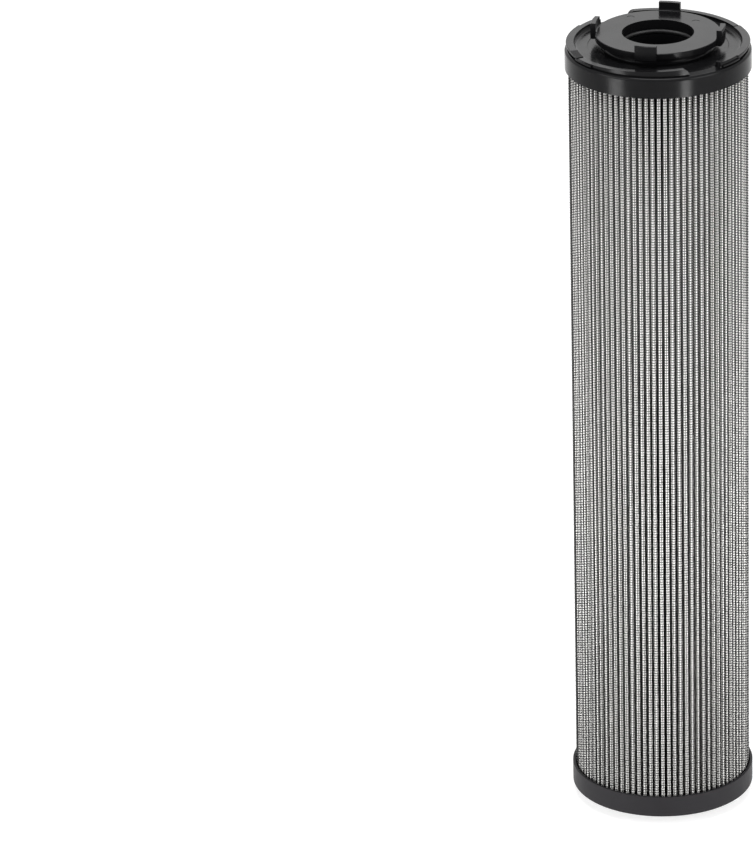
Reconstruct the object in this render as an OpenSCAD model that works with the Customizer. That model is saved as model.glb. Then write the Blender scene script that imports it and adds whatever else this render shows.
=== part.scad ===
// Pleated return-line filter element with a bayonet top cap.
// Millimetres. The origin is the centre of the bottom boss's face, and +Z runs up the element's axis.

/* [Element] */
// Outside diameter of both end caps
cap_d = 95; // [90:0.5:110]
// Length from the bottom cap's rim to the top cap's shoulder
body_len = 412.9; // [120:0.1:600]
// Wall of both skirts
skirt_wall = 1.3; // [1:0.1:1.6]
// Radius of the rounded edge of the bottom skirt
skirt_round = 0.8; // [0.3:0.1:1]
// Radius of the rounded shoulder of the top skirt
shoulder_round = 1.6; // [0.8:0.1:2]
// Thickness of the end plates
plate_t = 2.8; // [2:0.1:4]

/* [Bottom cap] */
// Height of the bottom skirt
bottom_skirt_h = 11.4; // [9:0.1:20]
// Diameter of the flat boss
boss_d = 68.4; // [62:0.1:76]
// Height of the boss below the rim
boss_h = 5.3; // [3:0.1:8]
// Radius of the fillet between the boss and the face
boss_fillet = 2.4; // [0.5:0.1:2.8]
// Diameter of the bottom bore
bottom_bore_d = 37.2; // [30:0.1:37.4]
// Diameter of the recess at the mouth of the bottom bore
mouth_d = 39; // [38:0.1:41]
// Depth of that recess
mouth_depth = 1.2; // [0.5:0.1:2]

/* [Top cap] */
// Height of the top skirt
top_skirt_h = 10.5; // [9:0.1:20]
// Height of the lip above the shoulder
lip_h = 3.3; // [2.5:0.1:5]
// Space between the cap's edge and the edge of the lip
lip_inset = 0.7; // [0.5:0.1:2]
// Width of the lip
lip_w = 4; // [3:0.1:5]
// Thickness of the flange round the lip
flange_t = 0.9; // [0.6:0.1:1.2]
// Radius of the hollow between the lip and the dish floor
dish_fillet = 2.2; // [0.5:0.1:2.4]
// Height of the dish floor above the shoulder
dish_h = 0.6; // [0.3:0.1:1]
// Diameter of the sunk middle of the dish
dish_step_d = 72; // [68:0.5:78]
// Depth of the sunk middle of the dish
dish_step = 0.3; // [0.1:0.1:0.5]
// Height of the flat disc's top above the lip
disc_rise = 4.4; // [3.5:0.1:8]
// Diameter of the flat disc
disc_d = 64; // [60:0.5:70]
// Thickness of the flat disc
disc_t = 3; // [2:0.1:3.2]
// Diameter of the neck under the disc
neck_d = 55; // [50:0.5:58]
// Wall of the neck
neck_wall = 2.5; // [1.5:0.1:3]
// Diameter of the top bore
top_bore_d = 36.7; // [30:0.1:37.2]

/* [Bayonet] */
// Length of an entry gap, in degrees
gap_deg = 27; // [15:1:35]
// Length of a ramp, in degrees
ramp_deg = 78; // [60:1:95]
// Direction of the first ramp's middle from the front, in degrees
ramp_mid_deg = -23; // [-40:1:0]
// Height of the front ramp's start above the shoulder
front_ramp_low = 1.9; // [1.9:0.1:3.2]
// Height of the front ramp's end above the shoulder
front_ramp_high = 3.6; // [2.5:0.1:5]
// Height of the back ramp's start above the shoulder
back_ramp_low = 3.5; // [1.9:0.1:4]
// Height of the back ramp's end above the shoulder
back_ramp_high = 4.1; // [2.5:0.1:5]
// How far a ramp's outer face stands inside the lip's flange
ramp_inset = 0.8; // [0.6:0.1:1.5]
// Slope of the end of a ramp, in degrees
ramp_end_slope = 65; // [50:1:75]
// Radius over which a ramp rounds into that slope
ramp_end_round = 3; // [1:0.1:4]
// Length of the low toe at each end of a flange, in degrees
toe_deg = 17; // [8:1:22]
// Height of a toe above the shoulder
toe_h = 1.7; // [1.2:0.1:1.8]
// Diameter of the round knob at the start of a flange
knob_d = 3; // [2:0.1:3.2]

/* [Lugs] */
// Width of a lug
lug_w = 11.1; // [6:0.1:16]
// Thickness of a lug outside the disc's edge
lug_t = 2.3; // [1.5:0.1:3]
// Height of a lug above the disc
lug_up = 4.6; // [2:0.1:8]
// Reach of a lug below the disc's top
lug_down = 3.8; // [3.3:0.1:4.2]
// Direction of the first lug from the front, in degrees
lug_turn = -11; // [-45:1:45]
// Number of lugs
lugs = 4; // [2:1:6]

/* [Pleats] */
// Number of pleats
pleats = 88; // [60:1:88]
// Space between the pleat crests and the skirts
pleat_gap = 0.7; // [0.5:0.1:3]
// Width of a crest
crest_w = 2.1; // [1.7:0.05:2.2]
// Thickness of the outer wire mesh
outer_mesh_t = 0.22; // [0.12:0.01:0.22]
// Thickness of each fleece
fleece_t = 0.08; // [0.05:0.01:0.1]
// Thickness of the glass fibre medium
media_t = 0.15; // [0.08:0.01:0.18]
// Thickness of the inner wire mesh
inner_mesh_t = 0.18; // [0.12:0.01:0.2]
// Space between two plies
ply_gap = 0.01; // [0.01:0.005:0.02]
// Space between the pleat roots and the core tube
root_gap = 0.1; // [0.05:0.05:0.3]

/* [Core tube] */
// Outside diameter of the core tube
core_d = 45.4; // [45.2:0.1:46]
// Wall of the core tube
core_wall = 0.9; // [0.7:0.1:1]
// Holes round the tube
core_holes = 8; // [4:2:8]
// Rows of holes
core_rows = 12; // [4:1:12]
// Diameter of a hole
core_hole_d = 8; // [3:0.5:10]
// Plain length at each end of the tube
core_plain = 22; // [18:1:40]
// Space between the tube and the collars inside it
core_fit = 0.1; // [0.05:0.05:0.3]

/* [Seals] */
// Thickness of the seal rings
seal_cord = 2.6; // [2:0.1:2.7]
// How far a seal ring stands into its bore
seal_stand = 0.2; // [0.1:0.05:0.25]
// Space round a seal ring in its groove
seal_gap = 0.05; // [0.02:0.01:0.1]
// Depth of the seal groove below the mouth of its bore
seal_depth = 5.1; // [4:0.1:7]

/* [Potting] */
// Thickness of the adhesive between a plate and the pleats
potting_t = 2.5; // [1:0.1:3]

/* [Hidden] */

black_plastic = "#26262a";
grey_plastic = "#3d3c3e";
wire_steel = "#c9c9cb";
fleece_white = "#ecebe6";
media_white = "#f7f6f0";
tube_steel = "#9a9c9f";
adhesive_grey = "#4a4a4c";
seal_black = "#141415";

turn_fn = 144;
bore_fn = 96;
hole_fn = 24;
seal_fn = 32;
arc_steps = 6;
far = 200;
// How far a cut runs past the face that it opens
past = 1;
// How far a raised form runs into the body that it is part of
sink = 0.5;
// Radius of the middle of each cap, which its bore cuts away
blank_in = 10;

// Heights of the main faces
z_rim = boss_h;
z_shoulder = z_rim + body_len;
z_dish = z_shoulder + dish_h;
z_lip = z_shoulder + lip_h;
z_disc = z_lip + disc_rise;
z_disc_under = z_disc - disc_t;
z_top_skirt = z_shoulder - top_skirt_h;
z_bottom_plate = z_rim + plate_t;
z_boss_floor = plate_t;
z_top_plate = z_dish - dish_step - plate_t;
z_pleat_low = z_bottom_plate + potting_t;
z_pleat_high = z_top_plate - potting_t;

// Radii that several pieces share
cap_r = cap_d / 2;
skirt_in = cap_r - skirt_wall;
boss_r = boss_d / 2;
boss_wall = neck_wall;
core_r = core_d / 2;
core_in = core_r - core_wall;
collar_r = core_in - core_fit;
collar_reach = 12;
collar_lead = 1.5;
collar_lead_in = 0.6;
lip_r = cap_r - lip_inset;
wall_r = lip_r - ramp_inset;
ramp_r = (lip_r + wall_r - lip_w) / 2;
hollow_r = min(dish_fillet, lip_h - dish_h);
pleat_d = 2 * (skirt_in - pleat_gap);

// Directions of the plain lip arcs, from the end of an entry gap to the start of the next ramp
plain_from = ramp_mid_deg + ramp_deg / 2 + gap_deg;
plain_deg = 180 - ramp_deg - gap_deg;
// A plain arc falls over this length to a small step above a lower ramp
fall_deg = 10;
fall_step = 0.3;
// How far two forms of the lip lap over each other, and how much the thinner one stands back there
lap_deg = 1.5;
lap = 0.1;

// Small rounds and slopes of the caps
edge_round = 0.3;
boss_edge = 0.5;
neck_fillet = 1.5;
lip_slope = 0.2;
flange_root = 1;
toe_low = 0.6;
wall_groove = 0.7;
wall_groove_h = 0.9;
knob_rise = 0.1;
knob_in = 0.45;
lug_edge = 0.4;
lug_heel = 1;
lug_foot = 0.8;

// A ramp is turned taller and longer by this much, and then cut to its slope
ramp_over = 3;
ramp_tail_deg = 11;
ramp_cut = 20;

// Shallow round marks that the mould leaves on the disc: radius and direction of each
marks = [[26.1, -148], [24.5, 128]];
mark_d = 4.2;
mark_depth = 0.12;

// Seal grooves
seal_r = seal_cord / 2;
groove_h = seal_cord + 4 * seal_gap;
groove_depth = seal_cord - seal_stand + seal_gap;

// Pleat geometry: a crest arc and a root arc joined by a straight leg that touches both
root_bend = 0.06;
pack_t = outer_mesh_t + 2 * fleece_t + media_t + inner_mesh_t + 4 * ply_gap;
pitch_deg = 360 / pleats;
crest_mid_r = crest_w / 2 - pack_t / 2;
root_mid_r = pack_t / 2 + root_bend;
crest_at = pleat_d / 2 - crest_w / 2;
root_at = core_r + root_gap + root_mid_r + pack_t / 2;
root_x = root_at * cos(pitch_deg / 2) - crest_at;
root_y = root_at * sin(pitch_deg / 2);
leg_span = sqrt(root_x * root_x + root_y * root_y);
leg_dir = atan2(root_y, root_x) - acos((crest_mid_r + root_mid_r) / leg_span);
crest_steps = 4;
root_steps = 2;

// Offsets of the ply faces from the middle of the pack, from the outside in
ply_outer = [pack_t / 2, pack_t / 2 - outer_mesh_t];
ply_fleece_a = [ply_outer[1] - ply_gap, ply_outer[1] - ply_gap - fleece_t];
ply_media = [ply_fleece_a[1] - ply_gap, ply_fleece_a[1] - ply_gap - media_t];
ply_fleece_b = [ply_media[1] - ply_gap, ply_media[1] - ply_gap - fleece_t];
ply_inner = [ply_fleece_b[1] - ply_gap, -pack_t / 2];

// Points of an arc, from one direction to another
function arc(at, r, from, to, steps = arc_steps) =
    [for (i = [0:steps]) let (dir = from + (to - from) * i / steps) at + r * [cos(dir), sin(dir)]];

// Outline of one face of the pleated pack, at an offset from its middle
function pleat_face(offset) = [
    for (i = [0:pleats - 1])
        let (
            crest_dir = i * pitch_deg,
            root_dir = crest_dir + pitch_deg / 2,
            crest = crest_at * [cos(crest_dir), sin(crest_dir)],
            root = root_at * [cos(root_dir), sin(root_dir)]
        )
        each concat(
            arc(crest, crest_mid_r + offset, crest_dir - leg_dir, crest_dir + leg_dir, crest_steps),
            arc(root, root_mid_r - offset, crest_dir + leg_dir + 180, crest_dir + pitch_deg - leg_dir + 180,
                root_steps)
        )
];

// One pleated ply between two offsets
module ply(offsets) {
    translate([0, 0, z_pleat_low])
        linear_extrude(height = z_pleat_high - z_pleat_low)
            difference() {
                polygon(pleat_face(offsets[0]));
                polygon(pleat_face(offsets[1]));
            }
}

// A solid turned about the axis from an outline of radius and height
module turned(outline) {
    rotate_extrude($fn = turn_fn) polygon(outline);
}

// A turned solid over part of the circle, from a direction measured from the front
module turned_part(outline, from, sweep) {
    rotate([0, 0, from - 90]) rotate_extrude(angle = sweep, $fn = turn_fn) polygon(outline);
}

// Bore with its seal groove: the mouth faces up from the height given
module bore_cut(d, z_mouth, up) {
    z_groove = up ? z_mouth - seal_depth - groove_h : z_mouth + seal_depth;
    translate([0, 0, z_mouth - far / 2]) cylinder(d = d, h = far, $fn = bore_fn);
    translate([0, 0, z_groove]) cylinder(r = d / 2 + groove_depth, h = groove_h, $fn = bore_fn);
}

// Section of the lip's wall: a shallow groove outside, and hollowed towards the dish
function lip_wall(r_out, r_in, z_top) = concat(
    [
        [r_out - wall_groove, z_shoulder - sink],
        [r_out - wall_groove, z_shoulder + wall_groove_h],
        [r_out, z_shoulder + wall_groove_h + lip_slope]
    ],
    arc([r_out - edge_round, z_top - edge_round], edge_round, 0, 90, 3),
    [[r_in, z_top]],
    arc([r_in - hollow_r, z_dish + hollow_r], hollow_r, 0, -90),
    [[r_in - hollow_r, z_shoulder - sink]]
);

// Section of the flange and the toes that stand out from the lip's wall, between two heights
function flange(z_low, z_top) = concat(
    [[wall_r - flange_root, z_low], [lip_r, z_low + lip_slope]],
    arc([lip_r - edge_round, z_top - edge_round], edge_round, 0, 90, 3),
    [[wall_r - flange_root, z_top]]
);

// A plain arc of the lip, which falls towards the ramp after it where that starts lower
module lip_arc(from, ramp_low) {
    to = from + plain_deg;
    fall = atan((lip_h - ramp_low - fall_step) / (fall_deg * PI / 180 * ramp_r));
    difference() {
        union() {
            turned_part(lip_wall(wall_r, lip_r - lip_w, z_lip), from, plain_deg);
            turned_part(flange(z_lip - flange_t, z_lip), from + toe_deg,
                plain_deg - toe_deg - lap_deg);
        }
        if (ramp_low + fall_step < lip_h)
            rotate([0, 0, to - fall_deg - 90])
                translate([ramp_r, 0, z_lip])
                    rotate([-fall, 0, 0])
                        translate([-ramp_cut / 2, 0, 0]) cube(ramp_cut);
    }
    for (dir = [from + lap_deg, to - lap_deg])
        turned_part(flange(z_shoulder + toe_low, z_shoulder + toe_h), dir, toe_deg);
    rotate([0, 0, from + lap_deg - 90])
        translate([wall_r - knob_in - knob_d / 2, 0, z_shoulder - sink])
            cylinder(d = knob_d, h = sink + lip_h + knob_rise, $fn = bore_fn);
}

// Outline of the space past the end of a ramp: along the ramp, and up from its top edge
function ramp_end(height) =
    let (
        run = ramp_end_round * sin(ramp_end_slope),
        drop = ramp_end_round * (1 - cos(ramp_end_slope)),
        foot = run + (height - drop) / tan(ramp_end_slope)
    )
    concat(
        arc([0, -ramp_end_round], ramp_end_round, 90, 90 - ramp_end_slope),
        [[foot, -height], [ramp_cut, -height], [ramp_cut, ramp_cut], [0, ramp_cut]]
    );

// A ramp: a taller arc cut by a slightly tilted plane, with a rounded and sloping end
module ramp(mid, low, high) {
    tilt = atan((high - low) / (2 * ramp_r * sin(ramp_deg / 2)));
    difference() {
        turned_part(lip_wall(wall_r - lap, lip_r - lip_w + lap, z_lip + ramp_over),
            mid - ramp_deg / 2 - lap_deg, ramp_deg + lap_deg + ramp_tail_deg);
        rotate([0, 0, mid - 90])
            translate([ramp_r, 0, z_shoulder + (low + high) / 2])
                rotate([tilt, 0, 0])
                    translate([-far / 2, -far / 2, 0]) cube([far, far, ramp_cut]);
        rotate([0, 0, mid + ramp_deg / 2 - 90])
            translate([ramp_r - ramp_cut / 2, 0, z_shoulder + high])
                rotate([90, 0, 90])
                    linear_extrude(height = ramp_cut) polygon(ramp_end(high + 2 * sink));
    }
}

// Section of a lug, hooked round the edge of the disc
function lug_outline() = concat(
    [[disc_d / 2 - lug_edge, z_disc - lug_down + lug_edge / 2]],
    arc([disc_d / 2 + lug_t - lug_heel, z_disc - lug_down + lug_heel], lug_heel, -90, 0, 4),
    [
        [disc_d / 2 + lug_t, z_disc + lug_up - lug_edge],
        [disc_d / 2 + lug_t - lug_edge, z_disc + lug_up],
        [disc_d / 2 - lug_edge, z_disc + lug_up]
    ],
    arc([disc_d / 2 - lug_edge - lug_foot, z_disc + lug_foot], lug_foot, 0, -90, 4),
    [[disc_d / 2 - lug_edge - lug_foot, z_disc - sink], [disc_d / 2 - lug_edge, z_disc - sink]]
);

module lug(dir) {
    lug_sweep = 50;
    intersection() {
        turned_part(lug_outline(), dir - lug_sweep / 2, lug_sweep);
        rotate([0, 0, dir - 90])
            translate([0, -lug_w / 2, z_disc - lug_down - past])
                cube([far / 2, lug_w, lug_down + lug_up + 2 * past]);
    }
}

// Body of the top cap: skirt, plate, neck, disc and the collar inside the core tube
function top_cap_outline() = concat(
    [[skirt_in, z_top_skirt], [cap_r, z_top_skirt]],
    arc([cap_r - shoulder_round, z_shoulder - shoulder_round], shoulder_round, 0, 90),
    [
        [lip_r - lip_w, z_dish],
        [dish_step_d / 2, z_dish],
        [dish_step_d / 2 - dish_step, z_dish - dish_step]
    ],
    arc([neck_d / 2 + neck_fillet, z_dish - dish_step + neck_fillet], neck_fillet, -90, -180, 4),
    [[neck_d / 2, z_disc_under], [disc_d / 2, z_disc_under], [disc_d / 2, z_disc - edge_round]],
    [[disc_d / 2 - edge_round, z_disc], [blank_in, z_disc], [blank_in, z_top_plate - collar_reach]],
    [
        [collar_r - collar_lead_in, z_top_plate - collar_reach],
        [collar_r, z_top_plate - collar_reach + collar_lead],
        [collar_r, z_disc_under],
        [neck_d / 2 - neck_wall, z_disc_under],
        [neck_d / 2 - neck_wall, z_top_plate],
        [skirt_in, z_top_plate]
    ]
);

module top_end_cap() {
    color(black_plastic) difference() {
        union() {
            turned(top_cap_outline());
            lip_arc(plain_from, back_ramp_low);
            ramp(ramp_mid_deg + 180, back_ramp_low, back_ramp_high);
            lip_arc(plain_from + 180, front_ramp_low);
            ramp(ramp_mid_deg, front_ramp_low, front_ramp_high);
            for (i = [0:lugs - 1]) lug(lug_turn + i * 360 / lugs);
        }
        bore_cut(top_bore_d, z_disc, true);
        for (mark = marks)
            rotate([0, 0, mark[1] - 90])
                translate([mark[0], 0, z_disc - mark_depth])
                    cylinder(d = mark_d, h = past, $fn = seal_fn);
    }
}

// Body of the bottom cap: skirt, face, boss and the collar inside the core tube
function bottom_cap_outline() = concat(
    [[blank_in, 0], [boss_r - boss_edge, 0], [boss_r, boss_edge]],
    arc([boss_r + boss_fillet, z_rim - boss_fillet], boss_fillet, 180, 90),
    arc([cap_r - skirt_round, z_rim + skirt_round], skirt_round, -90, 0),
    [
        [cap_r, z_rim + bottom_skirt_h],
        [skirt_in, z_rim + bottom_skirt_h],
        [skirt_in, z_bottom_plate],
        [boss_r - boss_wall, z_bottom_plate],
        [boss_r - boss_wall, z_boss_floor],
        [collar_r, z_boss_floor],
        [collar_r, z_bottom_plate + collar_reach - collar_lead],
        [collar_r - collar_lead_in, z_bottom_plate + collar_reach],
        [blank_in, z_bottom_plate + collar_reach]
    ]
);

module bottom_end_cap() {
    color(grey_plastic) difference() {
        turned(bottom_cap_outline());
        bore_cut(bottom_bore_d, 0, false);
        translate([0, 0, -past]) cylinder(d = mouth_d, h = mouth_depth + past, $fn = bore_fn);
    }
}

module outer_support_mesh() {
    color(wire_steel) ply(ply_outer);
}

module outer_fleece() {
    color(fleece_white) ply(ply_fleece_a);
}

module glass_fibre_media() {
    color(media_white) ply(ply_media);
}

module inner_fleece() {
    color(fleece_white) ply(ply_fleece_b);
}

module inner_support_mesh() {
    color(wire_steel) ply(ply_inner);
}

// Perforated tube between the two caps
module core_tube() {
    length = z_disc_under - z_boss_floor;
    row_pitch = (length - 2 * core_plain) / (core_rows - 1);
    color(tube_steel) difference() {
        translate([0, 0, z_boss_floor]) cylinder(r = core_r, h = length, $fn = bore_fn);
        translate([0, 0, z_boss_floor - past]) cylinder(r = core_in, h = length + 2 * past, $fn = bore_fn);
        for (row = [0:core_rows - 1], i = [0:core_holes / 2 - 1])
            translate([0, 0, z_boss_floor + core_plain + row * row_pitch])
                rotate([0, 0, (i + (row % 2) / 2) * 360 / core_holes])
                    rotate([90, 0, 0])
                        cylinder(d = core_hole_d, h = core_d + 2 * past, center = true, $fn = hole_fn);
    }
}

// Adhesive that holds the pleat ends and fills the neck round the core tube
module top_potting_ring() {
    color(adhesive_grey) turned([
        [core_r, z_pleat_high],
        [skirt_in, z_pleat_high],
        [skirt_in, z_top_plate],
        [neck_d / 2 - neck_wall, z_top_plate],
        [neck_d / 2 - neck_wall, z_disc_under],
        [core_r, z_disc_under]
    ]);
}

// Adhesive that holds the pleat ends and fills the boss round the core tube
module bottom_potting_ring() {
    color(adhesive_grey) turned([
        [core_r, z_boss_floor],
        [boss_r - boss_wall, z_boss_floor],
        [boss_r - boss_wall, z_bottom_plate],
        [skirt_in, z_bottom_plate],
        [skirt_in, z_pleat_low],
        [core_r, z_pleat_low]
    ]);
}

// A seal ring in the groove of a bore
module seal_ring(bore_d, z_mid) {
    color(seal_black) translate([0, 0, z_mid]) rotate_extrude($fn = turn_fn)
        translate([bore_d / 2 - seal_stand + seal_r, 0]) circle(r = seal_r, $fn = seal_fn);
}

module top_seal_ring() {
    seal_ring(top_bore_d, z_disc - seal_depth - groove_h / 2);
}

module bottom_seal_ring() {
    seal_ring(bottom_bore_d, seal_depth + groove_h / 2);
}

top_end_cap();
bottom_end_cap();
outer_support_mesh();
outer_fleece();
glass_fibre_media();
inner_fleece();
inner_support_mesh();
core_tube();
top_potting_ring();
bottom_potting_ring();
top_seal_ring();
bottom_seal_ring();
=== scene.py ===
"""Finish, stage, lights and camera of a pleated hydraulic filter element, laid out as an add-on."""
import math
import random

import bmesh
import bpy
from bpy.props import FloatProperty, FloatVectorProperty, IntProperty, PointerProperty
from mathutils import Matrix, Vector


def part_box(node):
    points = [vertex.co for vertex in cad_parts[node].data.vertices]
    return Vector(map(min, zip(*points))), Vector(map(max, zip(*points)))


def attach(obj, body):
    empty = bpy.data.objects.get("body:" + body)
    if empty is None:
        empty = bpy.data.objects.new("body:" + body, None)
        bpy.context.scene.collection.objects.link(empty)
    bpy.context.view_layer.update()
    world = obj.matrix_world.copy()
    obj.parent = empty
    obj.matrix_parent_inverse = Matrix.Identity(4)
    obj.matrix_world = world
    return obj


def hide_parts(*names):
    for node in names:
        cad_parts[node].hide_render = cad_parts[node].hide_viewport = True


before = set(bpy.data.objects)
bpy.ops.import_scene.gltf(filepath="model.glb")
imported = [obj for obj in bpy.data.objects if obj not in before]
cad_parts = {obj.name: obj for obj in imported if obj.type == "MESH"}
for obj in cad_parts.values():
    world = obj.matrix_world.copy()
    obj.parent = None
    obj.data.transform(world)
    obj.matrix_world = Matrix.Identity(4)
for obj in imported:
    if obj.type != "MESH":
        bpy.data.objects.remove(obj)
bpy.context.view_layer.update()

bl_info = {
    "name": "Pleated Filter Element",
    "version": (1, 0, 0),
    "blender": (4, 5, 0),
    "location": "3D View > Sidebar > Filter",
    "description": "Weaves the wire mesh of a pleated filter element and finishes its caps, plies and tube",
    "category": "Object",
}

MM = 0.001
WHITE = (1, 1, 1, 1)

# The colour sockets of a mix node, which shares their names among its kinds of value
MIX_A, MIX_B, MIX_OUT = 6, 7, 2

# Steps round the bends of the outer ply, and how close two of its points are to be one, in the middle
# of a pleat and between two pleats
CREST_STEPS = 6
ROOT_STEPS = 2
MIRROR_MERGE = 1e-7
PLEAT_MERGE = 1e-6

# Sides of a wire, and how far round a crest a cross wire is bent, in how many steps
WIRE_SIDES = 3
CROSS_SWEEP = math.radians(160)
CROSS_STEPS = 4

# How far a cross wire's end reaches down the ply and sinks into it, and how far out the middle of a
# cross wire and of a long wire lies, as a share of its radius
TIP_REACH = 0.6 * MM
TIP_SINK = 0.05 * MM
CROSS_SEAT = 0.8
LONG_SEAT = 0.9

# Seed of the shift of the long wires from pleat to pleat
WEAVE_SEED = 7

# The drawn wires, as shares of a wire's height: how much higher it stands where it passes over another
# one, and from where on it counts as wire and no longer as fleece
DRAWN_LIFT = 0.5
DRAWN_EDGE = 0.05

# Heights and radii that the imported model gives
PLEAT_LOW, PLEAT_HIGH = (corner.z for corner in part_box("outer_support_mesh"))
PLEAT_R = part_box("outer_support_mesh")[1].x
CORE_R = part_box("core_tube")[1].x
HEAD_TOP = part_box("top_end_cap")[1].z

# The cross wires: the rows that an array repeats, the pieces that share the pleats, and the heights
# between which the rows lie, each inside a cap
CELL_ROWS = 4
WIRE_PIECES = 4
WIRES_FROM = PLEAT_LOW + 2.4 * MM
WIRES_TO = PLEAT_HIGH - 4.2 * MM


def linear(code):
    """The linear colour of an sRGB hex value, with an alpha of one."""
    parts = [int(code[i:i + 2], 16) / 255 for i in (1, 3, 5)]
    return [p / 12.92 if p <= 0.04045 else ((p + 0.055) / 1.055) ** 2.4 for p in parts] + [1.0]


def shaded(tone, factor):
    """A colour made darker or lighter by a factor, with its alpha kept at one."""
    return [part * factor for part in tone[:3]] + [1.0]


def length(name, millimetres, description):
    """A length that a user may change, given in millimetres."""
    return FloatProperty(name=name, description=description, default=millimetres * MM, min=0,
                         precision=5, subtype="DISTANCE", unit="LENGTH")


def colour(name, code, description):
    """A colour that a user may change, given as an sRGB hex value."""
    return FloatVectorProperty(name=name, description=description, default=linear(code), size=4,
                               min=0, max=1, subtype="COLOR")


def angle(name, degrees, description):
    """An angle that a user may change, given in degrees."""
    return FloatProperty(name=name, description=description, default=math.radians(degrees),
                         subtype="ANGLE", unit="ROTATION")


def power(name, watts, description):
    """The power of a lamp that a user may change."""
    return FloatProperty(name=name, description=description, default=watts, min=0, unit="POWER")


class FilterPleats(bpy.types.PropertyGroup):
    """Sizes of the pleats and of the woven wire on them"""
    pleats: IntProperty(name="Pleats", description="Number of pleats", default=88, min=60, max=88)
    crest_w: length("Crest width", 2.1, "Width over a crest of the solid pleat pack")
    pack_t: length("Pack thickness", 0.75, "Thickness of all the plies together")
    root_bend: length("Root bend", 0.06, "Inner radius of the bend at a root")
    root_gap: length("Root gap", 0.1, "Space between the roots and the core tube")
    crest_r: length("Ply radius", 0.95, "Radius of the outer ply round a crest")
    ply_t: length("Ply thickness", 0.1, "Thickness of the outer ply")
    wire_r: length("Cross wire radius", 0.25, "Radius of the wires that run round the element")
    warp_r: length("Long wire radius", 0.16, "Radius of the wires that run along the pleats")
    crimp: length("Crimp", 0.1, "How far a cross wire swings over and under the long wires")
    row_pitch: length("Row pitch", 1.413, "Distance between two cross wires")
    column_pitch: length("Column pitch", 1.06, "Distance between two long wires")


class FilterColours(bpy.types.PropertyGroup):
    """Colours of the filter element"""
    black_nylon: colour("Top cap", "#0e0e0f", "Moulded nylon of the top cap")
    grey_nylon: colour("Bottom cap", "#1c1b1d", "Moulded nylon of the bottom cap")
    # The wire colour is also mixed into the fleece of the pleat sides as painted shade
    wire: colour("Wire", "#404040", "Steel wire of the mesh")
    fleece: colour("Fleece", "#f3f2ef", "Bonded fleece behind the wire")
    glass: colour("Glass fibre", "#f1efe6", "Glass fibre medium")
    zinc: colour("Zinc", "#a4a6a8", "Zinc plating of the core tube")
    resin: colour("Resin", "#2c2c2e", "Adhesive in the caps")
    rubber: colour("Rubber", "#141415", "Seal rings")


class FilterStage(bpy.types.PropertyGroup):
    """Floor, lights and camera"""
    floor_size: FloatProperty(name="Floor size", description="Side of the square floor", default=14, min=1,
                              subtype="DISTANCE", unit="LENGTH")
    floor: colour("Floor", "#b3b3b3", "Matt board under the element")
    glow: FloatProperty(name="Glow", description="Light that the floor adds where it is seen", default=0.7,
                        min=0)
    sky: FloatProperty(name="Sky", description="Strength of the light from all round", default=0.3, min=0)
    strips: power("Strip lights", 1.6, "Power of each short strip light, which the top cap's skirt mirrors")
    feet: power("Foot lights", 0.55, "Power of each small light near the bottom cap")
    sides: power("Side lights", 4, "Power of each soft light that stands on the floor")
    keys: power("Key lights", 25, "Power of each high soft light at the sides")
    top: power("Top light", 22, "Power of the soft light overhead")
    back: power("Back light", 8, "Power of the soft light behind")
    lens: FloatProperty(name="Lens", description="Focal length in millimetres", default=288.39, min=1)
    distance: FloatProperty(name="Distance", description="Camera to the element's axis, on the floor",
                            default=3.28246, min=0.1, subtype="DISTANCE", unit="LENGTH")
    height: FloatProperty(name="Height", description="Height of the camera", default=1.63476, min=0,
                          subtype="DISTANCE", unit="LENGTH")
    turn: angle("Turn", 2.5745, "Turn of the camera to the left")
    tilt: angle("Tilt", 23.485, "Tilt of the camera below the horizon")
    roll: angle("Roll", -1.405, "Roll of the camera")


def add(tree, kind, inputs=None, **settings):
    """Adds a node with its settings, and gives each named input a value or a link."""
    node = tree.nodes.new("ShaderNode" + kind)
    for name, value in settings.items():
        setattr(node, name, value)
    for name, value in (inputs or {}).items():
        if isinstance(value, bpy.types.NodeSocket):
            tree.links.new(value, node.inputs[name])
        else:
            node.inputs[name].default_value = value
    return node


# The principled shader's sockets that take a plain value here
SOCKETS = {
    "base_color": "Base Color",
    "emission_color": "Emission Color",
    "metallic": "Metallic",
    "roughness": "Roughness",
    "ior": "IOR",
    "specular_ior_level": "Specular IOR Level",
    "sheen_weight": "Sheen Weight",
}


def new_material(name, **values):
    """A material with one principled shader, whose sockets get the values named after them."""
    material = bpy.data.materials.new(name)
    material.use_nodes = True
    tree = material.node_tree
    tree.nodes.clear()
    surface = add(tree, "BsdfPrincipled", {SOCKETS[key]: value for key, value in values.items()})
    add(tree, "OutputMaterial", {"Surface": surface.outputs["BSDF"]})
    return material, tree, surface


def set_input(tree, surface, name, socket):
    """Links a socket to one input of the surface shader."""
    tree.links.new(socket, surface.inputs[name])


def finish_node(name, material):
    """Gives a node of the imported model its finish."""
    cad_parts[name].material_slots[0].material = material


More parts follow.
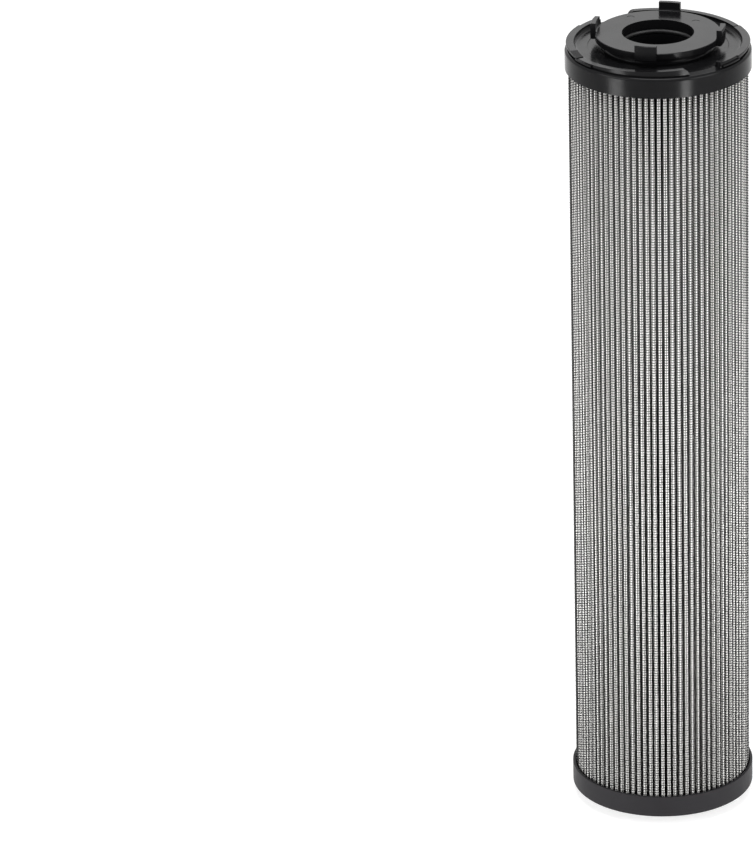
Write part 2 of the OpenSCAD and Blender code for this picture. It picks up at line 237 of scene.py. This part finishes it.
def moulded_nylon(name, base, roughness, gleam, grain, peel):
    """Glass-filled nylon, injection moulded: dark, with a soft broad highlight, a grain from the mould's
    skin and a slow unevenness where the glass fibre lies near the surface."""
    material, tree, surface = new_material(name, specular_ior_level=gleam)
    place = add(tree, "TexCoord").outputs["Object"]
    slow = add(tree, "TexNoise", {"Vector": place, "Scale": 1 / (9 * MM), "Detail": 3.0})
    # The real grain is about 0.1 mm across, and is drawn coarser so that it shows
    fine = add(tree, "TexNoise", {"Vector": place, "Scale": 1 / (0.7 * MM), "Detail": 2.0})
    shade = add(tree, "Mix", {"Factor": slow.outputs["Fac"], MIX_A: base, MIX_B: shaded(base, 1.35)},
                data_type="RGBA")
    set_input(tree, surface, "Base Color", shade.outputs[MIX_OUT])
    gloss = add(tree, "MapRange", {"Value": slow.outputs["Fac"], "From Min": 0.3, "From Max": 0.7,
                                   "To Min": roughness - 0.04, "To Max": roughness + 0.05})
    set_input(tree, surface, "Roughness", gloss.outputs["Result"])
    skin = add(tree, "Bump", {"Height": fine.outputs["Fac"], "Strength": grain, "Distance": 0.05 * MM})
    wave = add(tree, "Bump", {"Height": slow.outputs["Fac"], "Strength": peel, "Distance": 0.2 * MM,
                              "Normal": skin.outputs["Normal"]})
    set_input(tree, surface, "Normal", wave.outputs["Normal"])
    return material


def steel_wire(colours):
    """Stainless steel, drawn to wire and woven: bright, with a narrow highlight along each wire."""
    material, tree, surface = new_material("woven_stainless_wire", metallic=1.0, roughness=0.33)
    place = add(tree, "TexCoord").outputs["Object"]
    streak = add(tree, "TexNoise", {"Vector": place, "Scale": 1 / (2.5 * MM), "Detail": 2.0})
    base = list(colours.wire)
    shade = add(tree, "Mix", {"Factor": streak.outputs["Fac"], MIX_A: shaded(base, 0.8), MIX_B: base},
                data_type="RGBA")
    set_input(tree, surface, "Base Color", shade.outputs[MIX_OUT])
    return material


def weave_height(tree, uv, sizes):
    """How high the drawn wires stand over the fleece, at a place given in millimetres: nothing beside
    a wire, and most where it passes over another."""
    humps, swings = [], []
    runs = (
        ("X", sizes.column_pitch / MM, sizes.warp_r / MM),
        ("Y", sizes.row_pitch / MM, sizes.wire_r / MM),
    )
    for axis, pitch, radius in runs:
        reach = add(tree, "Math", {0: uv[axis], 1: pitch / 2}, operation="PINGPONG").outputs[0]
        share = add(tree, "Math", {0: reach, 1: radius}, operation="DIVIDE").outputs[0]
        square = add(tree, "Math", {0: share, 1: 2.0}, operation="POWER").outputs[0]
        hump = add(tree, "Math", {0: 1.0, 1: square}, operation="SUBTRACT", use_clamp=True)
        humps.append(hump.outputs[0])
        turn = add(tree, "Math", {0: uv[axis], 1: math.pi / pitch}, operation="MULTIPLY").outputs[0]
        swings.append(add(tree, "Math", {0: turn}, operation="COSINE").outputs[0])
    swing = add(tree, "Math", {0: swings[0], 1: swings[1]}, operation="MULTIPLY").outputs[0]
    wires = []
    for hump, lift in zip(humps, (-DRAWN_LIFT, DRAWN_LIFT)):
        level = add(tree, "Math", {0: swing, 1: lift, 2: 1.0}, operation="MULTIPLY_ADD").outputs[0]
        wires.append(add(tree, "Math", {0: hump, 1: level}, operation="MULTIPLY").outputs[0])
    return add(tree, "Math", {0: wires[0], 1: wires[1]}, operation="MAXIMUM").outputs[0]


def axis_distance(tree, place):
    """How far a place lies from the element's axis."""
    flat = add(tree, "VectorMath", {0: place, 1: (1.0, 1.0, 0.0)}, operation="MULTIPLY").outputs[0]
    return add(tree, "VectorMath", {0: flat}, operation="LENGTH").outputs["Value"]


def woven_ply(colours, sizes):
    """Bonded polyester fleece under woven wire: matt white fibre, with the wires of the pleat sides drawn
    on it, where they are too many to be modelled, and painted shade on the fleece between them. The wires
    that cross the crests are modelled."""
    material, tree, surface = new_material("fleece_under_wire", ior=1.5)
    coords = add(tree, "TexCoord").outputs
    uv = add(tree, "SeparateXYZ", {"Vector": coords["UV"]}).outputs
    woven = weave_height(tree, uv, sizes)
    place = coords["Object"]
    reach = axis_distance(tree, place)
    side = add(tree, "Math", {0: reach, 1: PLEAT_R - sizes.crest_w / 2}, operation="LESS_THAN").outputs[0]
    height = add(tree, "Math", {0: woven, 1: side}, operation="MULTIPLY").outputs[0]
    wire = add(tree, "Math", {0: height, 1: DRAWN_EDGE}, operation="GREATER_THAN").outputs[0]
    # The real fibres are about 0.02 mm thick, and are drawn coarser so that they show
    fibre = add(tree, "TexNoise", {"Vector": place, "Scale": 1 / (0.25 * MM), "Detail": 3.0})
    cloth = list(colours.fleece)
    fleece = add(tree, "Mix", {"Factor": fibre.outputs["Fac"], MIX_A: shaded(cloth, 0.85), MIX_B: cloth},
                 data_type="RGBA")
    # Painted shade: between the wires of the pleat sides the fleece is mixed half with the wire colour,
    # standing for the shadow of the wires and the dark of the narrow valleys
    shadow = add(tree, "MapRange", {"Value": side, "To Max": 0.5}).outputs["Result"]
    base = list(colours.wire)
    painted_shade_fleece = add(tree, "Mix", {"Factor": shadow, MIX_A: fleece.outputs[MIX_OUT], MIX_B: base},
               data_type="RGBA")
    shade = add(tree, "Mix", {"Factor": wire, MIX_A: painted_shade_fleece.outputs[MIX_OUT], MIX_B: base},
                data_type="RGBA")
    set_input(tree, surface, "Base Color", shade.outputs[MIX_OUT])
    set_input(tree, surface, "Metallic", wire)
    gloss = add(tree, "MapRange", {"Value": wire, "To Min": 0.9, "To Max": 0.35})
    set_input(tree, surface, "Roughness", gloss.outputs["Result"])
    bump = add(tree, "Bump", {"Height": height, "Strength": 0.7, "Distance": sizes.wire_r * 2})
    set_input(tree, surface, "Normal", bump.outputs["Normal"])
    return material


def fibre_mat(name, base, fibre_mm):
    """Non-woven fibre, laid and bonded: matt, pale, with threads crossing at random, drawn coarser than
    the real ones so that they show."""
    material, tree, surface = new_material(name, roughness=0.92, sheen_weight=0.2)
    place = add(tree, "TexCoord").outputs["Object"]
    threads = add(tree, "TexNoise", {"Vector": place, "Scale": 1 / (fibre_mm * MM), "Detail": 4.0,
                                     "Distortion": 1.5})
    shade = add(tree, "Mix", {"Factor": threads.outputs["Fac"], MIX_A: shaded(base, 0.7), MIX_B: base},
                data_type="RGBA")
    set_input(tree, surface, "Base Color", shade.outputs[MIX_OUT])
    bump = add(tree, "Bump", {"Height": threads.outputs["Fac"], "Strength": 0.4, "Distance": 0.05 * MM})
    set_input(tree, surface, "Normal", bump.outputs["Normal"])
    return material


def inner_wire(colours, sizes):
    """Stainless wire mesh on the clean side, drawn on its solid ply by radius and height, with painted
    shade in the openings between the wires.
    """
    material, tree, surface = new_material("inner_wire_mesh", metallic=1.0, roughness=0.4)
    place = add(tree, "TexCoord").outputs["Object"]
    reach = axis_distance(tree, place)
    height = add(tree, "SeparateXYZ", {"Vector": place}).outputs["Z"]
    across = add(tree, "Math", {0: reach, 1: sizes.column_pitch / 2}, operation="PINGPONG").outputs[0]
    up = add(tree, "Math", {0: height, 1: sizes.row_pitch / 2}, operation="PINGPONG").outputs[0]
    nearest = add(tree, "Math", {0: across, 1: up}, operation="MINIMUM").outputs[0]
    wire = add(tree, "Math", {0: nearest, 1: sizes.wire_r}, operation="LESS_THAN").outputs[0]
    base = list(colours.wire)
    # Painted shade: the openings between the drawn wires are a quarter as bright as the wire
    shade = add(tree, "Mix", {"Factor": wire, MIX_A: shaded(base, 0.25), MIX_B: base}, data_type="RGBA")
    set_input(tree, surface, "Base Color", shade.outputs[MIX_OUT])
    bump = add(tree, "Bump", {"Height": wire, "Strength": 0.6, "Distance": sizes.wire_r})
    set_input(tree, surface, "Normal", bump.outputs["Normal"])
    return material


def zinc_plate(colours):
    """Steel strip, rolled to a tube and zinc plated: pale grey metal with a faint cloudy spangle."""
    material, tree, surface = new_material("zinc_plated_tube", metallic=1.0)
    place = add(tree, "TexCoord").outputs["Object"]
    spangle = add(tree, "TexVoronoi", {"Vector": place, "Scale": 1 / (4 * MM)})
    cloud = add(tree, "TexNoise", {"Vector": place, "Scale": 1 / (12 * MM), "Detail": 3.0})
    both = add(tree, "Math", {0: spangle.outputs["Distance"], 1: cloud.outputs["Fac"]},
               operation="MULTIPLY")
    base = list(colours.zinc)
    shade = add(tree, "Mix", {"Factor": both.outputs[0], MIX_A: base, MIX_B: shaded(base, 0.6)},
                data_type="RGBA")
    set_input(tree, surface, "Base Color", shade.outputs[MIX_OUT])
    gloss = add(tree, "MapRange", {"Value": both.outputs[0], "To Min": 0.35, "To Max": 0.55})
    set_input(tree, surface, "Roughness", gloss.outputs["Result"])
    return material


def cast_resin(colours):
    """Polyurethane adhesive, poured and set: dark, glossy, with shallow flow waves."""
    material, tree, surface = new_material("cast_adhesive", base_color=list(colours.resin), ior=1.5)
    place = add(tree, "TexCoord").outputs["Object"]
    flow = add(tree, "TexNoise", {"Vector": place, "Scale": 1 / (6 * MM), "Detail": 2.0, "Distortion": 0.8})
    gloss = add(tree, "MapRange", {"Value": flow.outputs["Fac"], "To Min": 0.25, "To Max": 0.5})
    set_input(tree, surface, "Roughness", gloss.outputs["Result"])
    bump = add(tree, "Bump", {"Height": flow.outputs["Fac"], "Strength": 0.5, "Distance": 0.5 * MM})
    set_input(tree, surface, "Normal", bump.outputs["Normal"])
    return material


def moulded_rubber(colours):
    """Nitrile rubber, moulded: black, with a dull bloom."""
    material, tree, surface = new_material("nitrile_rubber", base_color=list(colours.rubber), ior=1.52)
    place = add(tree, "TexCoord").outputs["Object"]
    bloom = add(tree, "TexNoise", {"Vector": place, "Scale": 1 / (1.5 * MM), "Detail": 3.0})
    gloss = add(tree, "MapRange", {"Value": bloom.outputs["Fac"], "To Min": 0.4, "To Max": 0.65})
    set_input(tree, surface, "Roughness", gloss.outputs["Result"])
    return material


def new_piece(name, bm, material, slot, *nodes):
    """Makes an object of a bmesh, which rides with the element and stands for the given nodes."""
    mesh = bpy.data.meshes.new(name)
    bm.to_mesh(mesh)
    bm.free()
    for face in mesh.polygons:
        face.use_smooth = True
    mesh.materials.append(material)
    piece = bpy.data.objects.new(name, mesh)
    bpy.context.scene.collection.objects.link(piece)
    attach(piece, "root")
    if nodes:
        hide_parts(*nodes)
    return piece


class PleatShape:
    """Where the arcs of a pleat lie, in the plane of the pleat that points along +X."""

    def __init__(self, sizes):
        self.pitch = math.tau / sizes.pleats
        bends = sizes.crest_w / 2 + sizes.root_bend
        root_at = CORE_R + sizes.root_gap + sizes.root_bend + sizes.pack_t
        self.root = Matrix.Rotation(self.pitch / 2, 3, "Z") @ Vector((root_at, 0, 0))
        self.crest = Vector((PLEAT_R - sizes.crest_w / 2, 0, 0))
        span = self.root - self.crest
        self.leg = math.atan2(span.y, span.x) - math.acos(bends / span.length)
        self.crest_r = sizes.crest_r
        self.root_r = bends - sizes.crest_r
        self.leg_start = self.crest + self.crest_r * self.towards(self.leg)
        self.leg_end = self.root + self.root_r * self.towards(self.leg + math.pi)
        self.wire_at = self.crest_r + CROSS_SEAT * sizes.wire_r
        self.warp_at = self.crest_r + LONG_SEAT * sizes.warp_r
        down = (self.leg_end - self.leg_start).normalized()
        self.wire_tip = self.leg_start + TIP_REACH * down - TIP_SINK * self.towards(self.leg)

    @staticmethod
    def towards(turn):
        """The direction that is turned so far from +X."""
        return Vector((math.cos(turn), math.sin(turn), 0))


def points(geometry):
    """The points among what a bmesh operator gives back."""
    return [item for item in geometry if isinstance(item, bmesh.types.BMVert)]


def ply_unit(shape, phase_mm):
    """One pleat of the outer ply, from root to root, with its length and height in millimetres as UVs."""
    bm = bmesh.new()
    arc = bm.verts.layers.float.new("arc")
    low_end = Vector((0, 0, PLEAT_LOW))
    tip = bm.verts.new(shape.crest + Vector((shape.crest_r, 0, PLEAT_LOW)))
    crest = bmesh.ops.spin(bm, geom=[tip], cent=shape.crest + low_end, axis=(0, 0, 1),
                           angle=shape.leg, steps=CREST_STEPS)
    corner = points(crest["geom_last"])[0]
    foot = bmesh.ops.extrude_vert_indiv(bm, verts=[corner])["verts"][0]
    foot.co = shape.leg_end + low_end
    bmesh.ops.spin(bm, geom=[foot], cent=shape.root + low_end, axis=(0, 0, 1),
                   angle=shape.pitch / 2 - shape.leg, steps=ROOT_STEPS)
    bm.verts.ensure_lookup_table()
    travelled = 0.0
    for before, after in zip(bm.verts[:-1], bm.verts[1:]):
        travelled += (after.co - before.co).length / MM
        after[arc] = travelled
    bmesh.ops.mirror(bm, geom=bm.verts[:] + bm.edges[:], merge_dist=MIRROR_MERGE, axis="Y")
    for vert in bm.verts:
        if vert.co.y < 0:
            vert[arc] = -abs(vert[arc])
    sides = bmesh.ops.extrude_edge_only(bm, edges=bm.edges[:])["geom"]
    bmesh.ops.translate(bm, vec=(0, 0, PLEAT_HIGH - PLEAT_LOW), verts=points(sides))
    uv = bm.loops.layers.uv.new("weave")
    for face in bm.faces:
        for loop in face.loops:
            loop[uv].uv = (loop.vert[arc] + phase_mm, loop.vert.co.z / MM)
    return bm


def phases(sizes):
    """How far the long wires are shifted on each pleat, in millimetres."""
    draw = random.Random(WEAVE_SEED)
    return [draw.uniform(0, sizes.column_pitch / MM) for _ in range(sizes.pleats)]


class FILTER_OT_outer_ply(bpy.types.Operator):
    """Folds the outer fleece ply under the wire mesh"""
    bl_idname = "filter_element.outer_ply"
    bl_label = "Outer Ply"
    bl_options = {"REGISTER", "UNDO"}

    def execute(self, context):
        sizes = context.scene.filter_pleats
        shape = PleatShape(sizes)
        whole = bmesh.new()
        for pleat, phase in enumerate(phases(sizes)):
            unit = ply_unit(shape, phase)
            bmesh.ops.rotate(unit, verts=unit.verts, matrix=Matrix.Rotation(pleat * shape.pitch, 3, "Z"))
            mesh = bpy.data.meshes.new("unit")
            unit.to_mesh(mesh)
            unit.free()
            whole.from_mesh(mesh)
            bpy.data.meshes.remove(mesh)
        bmesh.ops.remove_doubles(whole, verts=whole.verts, dist=PLEAT_MERGE)
        bmesh.ops.recalc_face_normals(whole, faces=whole.faces)
        material = woven_ply(context.scene.filter_colours, sizes)
        piece = new_piece("outer_ply", whole, material, "fleece", "outer_support_mesh")
        wall = piece.modifiers.new("ply thickness", "SOLIDIFY")
        wall.thickness = sizes.ply_t
        wall.offset = -1
        return {"FINISHED"}


def cross_wire(bm, shape, sizes, row, phase_mm):
    """A wire bent across a crest, over and under the long wires, with both ends sunk into the ply."""
    known = set(bm.verts)
    centre = shape.crest + Vector((0, 0, row * sizes.row_pitch))
    out = shape.towards(-CROSS_SWEEP / 2)
    facing = Matrix(((0, out.x, -out.y), (0, out.y, out.x), (1, 0, 0))).to_4x4()
    place = Matrix.Translation(centre + shape.wire_at * out) @ facing
    ring = bmesh.ops.create_circle(bm, segments=WIRE_SIDES, radius=sizes.wire_r, matrix=place)["verts"]
    first = list({edge for vert in ring for edge in vert.link_edges})
    turned = bmesh.ops.spin(bm, geom=ring + first, cent=centre, axis=(0, 0, 1), angle=CROSS_SWEEP,
                            steps=CROSS_STEPS)
    last = [e for e in turned["geom_last"] if isinstance(e, bmesh.types.BMEdge)]
    for vert in [v for v in bm.verts if v not in known]:
        spoke = vert.co - centre
        along = shape.crest_r / MM * math.atan2(spoke.y, spoke.x)
        swing = math.cos(math.pi * (along + phase_mm) * MM / sizes.column_pitch) * (-1) ** row
        vert.co += shape.towards(math.atan2(spoke.y, spoke.x)) * sizes.crimp * swing
    for edges, side in ((first, -1), (last, 1)):
        made = bmesh.ops.extrude_edge_only(bm, edges=edges)["geom"]
        tip = shape.wire_tip.copy()
        tip.y *= side
        bmesh.ops.pointmerge(bm, verts=points(made), merge_co=tip + Vector((0, 0, centre.z)))
    return [v for v in bm.verts if v not in known]


def long_wires(bm, shape, sizes, phase_mm):
    """The straight wires that run along one crest."""
    known = set(bm.verts)
    pitch = sizes.column_pitch / MM
    reach = shape.crest_r / MM * CROSS_SWEEP / 2
    for step in range(math.ceil((phase_mm - reach) / pitch), math.floor((phase_mm + reach) / pitch) + 1):
        out = shape.towards((step * pitch - phase_mm) * MM / shape.crest_r)
        facing = Matrix(((out.y, out.x, 0), (-out.x, out.y, 0), (0, 0, 1))).to_4x4()
        middle = shape.crest + shape.warp_at * out + Vector((0, 0, (PLEAT_LOW + PLEAT_HIGH) / 2))
        bmesh.ops.create_cone(bm, cap_ends=True, cap_tris=True, segments=WIRE_SIDES, radius1=sizes.warp_r,
                              radius2=sizes.warp_r, depth=PLEAT_HIGH - PLEAT_LOW,
                              matrix=Matrix.Translation(middle) @ facing)
    return [v for v in bm.verts if v not in known]


class FILTER_OT_crest_wires(bpy.types.Operator):
    """Weaves the wires that cross the pleat crests, and the long wires that they pass over and under"""
    bl_idname = "filter_element.crest_wires"
    bl_label = "Crest Wires"
    bl_options = {"REGISTER", "UNDO"}

    def execute(self, context):
        sizes = context.scene.filter_pleats
        shape = PleatShape(sizes)
        wire = steel_wire(context.scene.filter_colours)
        shifts = phases(sizes)
        low_row = math.ceil(WIRES_FROM / sizes.row_pitch)
        cells = math.ceil((WIRES_TO / sizes.row_pitch - low_row) / CELL_ROWS)
        share = math.ceil(sizes.pleats / WIRE_PIECES)
        long = bmesh.new()
        for part in range(WIRE_PIECES):
            cross = bmesh.new()
            for pleat in range(part * share, min((part + 1) * share, sizes.pleats)):
                turn = Matrix.Rotation(pleat * shape.pitch, 3, "Z")
                for row in range(CELL_ROWS):
                    made = cross_wire(cross, shape, sizes, low_row + row, shifts[pleat])
                    bmesh.ops.rotate(cross, verts=made, matrix=turn)
                bmesh.ops.rotate(long, verts=long_wires(long, shape, sizes, shifts[pleat]), matrix=turn)
            bmesh.ops.recalc_face_normals(cross, faces=cross.faces)
            piece = new_piece(f"cross_wires_{part + 1}", cross, wire, "wire_steel", "outer_support_mesh")
            rows = piece.modifiers.new("rows", "ARRAY")
            rows.use_relative_offset = False
            rows.use_constant_offset = True
            rows.constant_offset_displace = (0, 0, CELL_ROWS * sizes.row_pitch)
            rows.count = cells
        new_piece("long_wires", long, wire, "wire_steel", "outer_support_mesh")
        return {"FINISHED"}


class FILTER_OT_caps(bpy.types.Operator):
    """Gives both end caps their moulded finish"""
    bl_idname = "filter_element.caps"
    bl_label = "End Caps"
    bl_options = {"REGISTER", "UNDO"}

    def execute(self, context):
        colours = context.scene.filter_colours
        finish_node("top_end_cap", moulded_nylon("semi_gloss_nylon", list(colours.black_nylon),
                                                 roughness=0.2, gleam=0.1, grain=0.15, peel=0.1))
        finish_node("bottom_end_cap", moulded_nylon("matt_nylon", list(colours.grey_nylon),
                                                    roughness=0.5, gleam=0.15, grain=0.4, peel=0.1))
        return {"FINISHED"}


class FILTER_OT_inner_pieces(bpy.types.Operator):
    """Finishes the inner plies, the core tube, the adhesive and the seal rings"""
    bl_idname = "filter_element.inner_pieces"
    bl_label = "Inner Pieces"
    bl_options = {"REGISTER", "UNDO"}

    def execute(self, context):
        colours, sizes = context.scene.filter_colours, context.scene.filter_pleats
        fleece = fibre_mat("bonded_fleece", list(colours.fleece), 0.3)
        finish_node("outer_fleece", fleece)
        finish_node("inner_fleece", fleece)
        finish_node("glass_fibre_media", fibre_mat("glass_fibre_mat", list(colours.glass), 0.15))
        finish_node("inner_support_mesh", inner_wire(colours, sizes))
        finish_node("core_tube", zinc_plate(colours))
        resin, rubber = cast_resin(colours), moulded_rubber(colours)
        for end in ("top", "bottom"):
            finish_node(end + "_potting_ring", resin)
            finish_node(end + "_seal_ring", rubber)
        return {"FINISHED"}


def plainly_seen(tree):
    """One for a ray from the camera, off a glossy surface or through a clear one, and zero for others."""
    path = add(tree, "LightPath").outputs
    direct = add(tree, "Math", {0: path["Is Camera Ray"], 1: path["Is Glossy Ray"]}, operation="MAXIMUM")
    through = path["Is Transmission Ray"]
    return add(tree, "Math", {0: direct.outputs[0], 1: through}, operation="MAXIMUM").outputs[0]


def area_light(name, place, target, width, height, watts):
    """A soft rectangular light at a place, turned to a target."""
    light = bpy.data.lights.new(name, "AREA")
    light.shape = "RECTANGLE"
    light.size, light.size_y, light.energy = width, height, watts
    lamp = bpy.data.objects.new(name, light)
    bpy.context.scene.collection.objects.link(lamp)
    lamp.location = place
    lamp.rotation_euler = (Vector(target) - Vector(place)).to_track_quat("-Z", "Y").to_euler()
    lamp.visible_camera = False


class FILTER_OT_stage(bpy.types.Operator):
    """Sets the floor, the lights and the camera"""
    bl_idname = "filter_element.stage"
    bl_label = "Stage"
    bl_options = {"REGISTER", "UNDO"}

    def execute(self, context):
        scene, stage = context.scene, context.scene.filter_stage
        bm = bmesh.new()
        bmesh.ops.create_grid(bm, x_segments=1, y_segments=1, size=stage.floor_size / 2)
        mesh = bpy.data.meshes.new("floor")
        bm.to_mesh(mesh)
        bm.free()
        # Painted board, matt: it takes a soft shadow, and glows white by itself where it is seen
        material, tree, surface = new_material("matt_studio_board", base_color=list(stage.floor),
                                               emission_color=WHITE, roughness=0.95)
        glow = add(tree, "MapRange", {"Value": plainly_seen(tree), "To Max": stage.glow})
        set_input(tree, surface, "Emission Strength", glow.outputs["Result"])
        mesh.materials.append(material)
        floor = bpy.data.objects.new("floor", mesh)
        scene.collection.objects.link(floor)

        world = bpy.data.worlds.new("studio")
        world.use_nodes = True
        tree = world.node_tree
        tree.nodes.clear()
        strength = add(tree, "MapRange", {"Value": plainly_seen(tree), "To Min": stage.sky, "To Max": 1.0})
        light = add(tree, "Background", {"Color": WHITE, "Strength": strength.outputs["Result"]})
        add(tree, "OutputWorld", {"Surface": light.outputs["Background"]})
        scene.world = world

        middle = HEAD_TOP / 2
        # Each lamp: degrees from the front, distance, height, height of its target, width, height, power
        for name, side, away, height, aim, width, tall, watts in (
            ("left_strip", -52, 0.75, 0.1, 0.1, 0.22, 0.16, stage.strips),
            ("right_strip", 33.4, 0.75, 0.1, 0.1, 0.12, 0.16, stage.strips),
            ("left_foot", -55, 0.4, 0.06, 0.04, 0.12, 0.12, stage.feet),
            ("right_foot", 55, 0.4, 0.06, 0.04, 0.12, 0.12, stage.feet),
            ("left_side", -55, 1.8, 0.55, middle, 1.0, 1.0, stage.sides),
            ("right_side", 55, 1.4, 0.55, middle, 1.0, 1.0, stage.sides),
            ("left_key", -58, 2.3, 1.3, middle, 1.4, 1.4, stage.keys),
            ("right_key", 58, 2.3, 1.3, middle, 1.4, 1.4, stage.keys),
            ("top_light", 0, 0.3, 2.0, middle, 1.0, 1.0, stage.top),
            ("back_light", 180, 2.2, 1.3, middle, 2.2, 1.2, stage.back),
        ):
            turn = math.radians(side)
            place = (away * math.sin(turn), -away * math.cos(turn), height)
            area_light(name, place, (0, 0, aim), width, tall, watts)

        camera = bpy.data.cameras.new("camera")
        camera.lens = stage.lens
        camera.sensor_width = 36
        view = bpy.data.objects.new("camera", camera)
        scene.collection.objects.link(view)
        view.matrix_world = (
            Matrix.Translation((0, -stage.distance, stage.height))
            @ Matrix.Rotation(stage.turn, 4, "Z")
            @ Matrix.Rotation(math.pi / 2 - stage.tilt, 4, "X")
            @ Matrix.Rotation(stage.roll, 4, "Z")
        )
        scene.camera = view
        scene.view_settings.view_transform = "Standard"
        return {"FINISHED"}


class FILTER_PT_panel(bpy.types.Panel):
    """Lists the steps that finish the filter element"""
    bl_idname = "FILTER_PT_panel"
    bl_label = "Filter Element"
    bl_space_type = "VIEW_3D"
    bl_region_type = "UI"
    bl_category = "Filter"

    def draw(self, context):
        for operator in OPERATORS:
            self.layout.operator(operator.bl_idname)


OPERATORS = (
    FILTER_OT_caps,
    FILTER_OT_inner_pieces,
    FILTER_OT_outer_ply,
    FILTER_OT_crest_wires,
    FILTER_OT_stage,
)
GROUPS = {"filter_pleats": FilterPleats, "filter_colours": FilterColours, "filter_stage": FilterStage}


def register():
    for item in (*GROUPS.values(), *OPERATORS, FILTER_PT_panel):
        bpy.utils.register_class(item)
    for name, group in GROUPS.items():
        setattr(bpy.types.Scene, name, PointerProperty(type=group))


def unregister():
    for name in GROUPS:
        delattr(bpy.types.Scene, name)
    for item in (FILTER_PT_panel, *reversed(OPERATORS), *reversed(GROUPS.values())):
        bpy.utils.unregister_class(item)


def main():
    """Makes the scene."""
    register()
    bpy.ops.filter_element.caps()
    bpy.ops.filter_element.inner_pieces()
    bpy.ops.filter_element.outer_ply()
    bpy.ops.filter_element.crest_wires()
    bpy.ops.filter_element.stage()


if __name__ == "__main__":
    main()
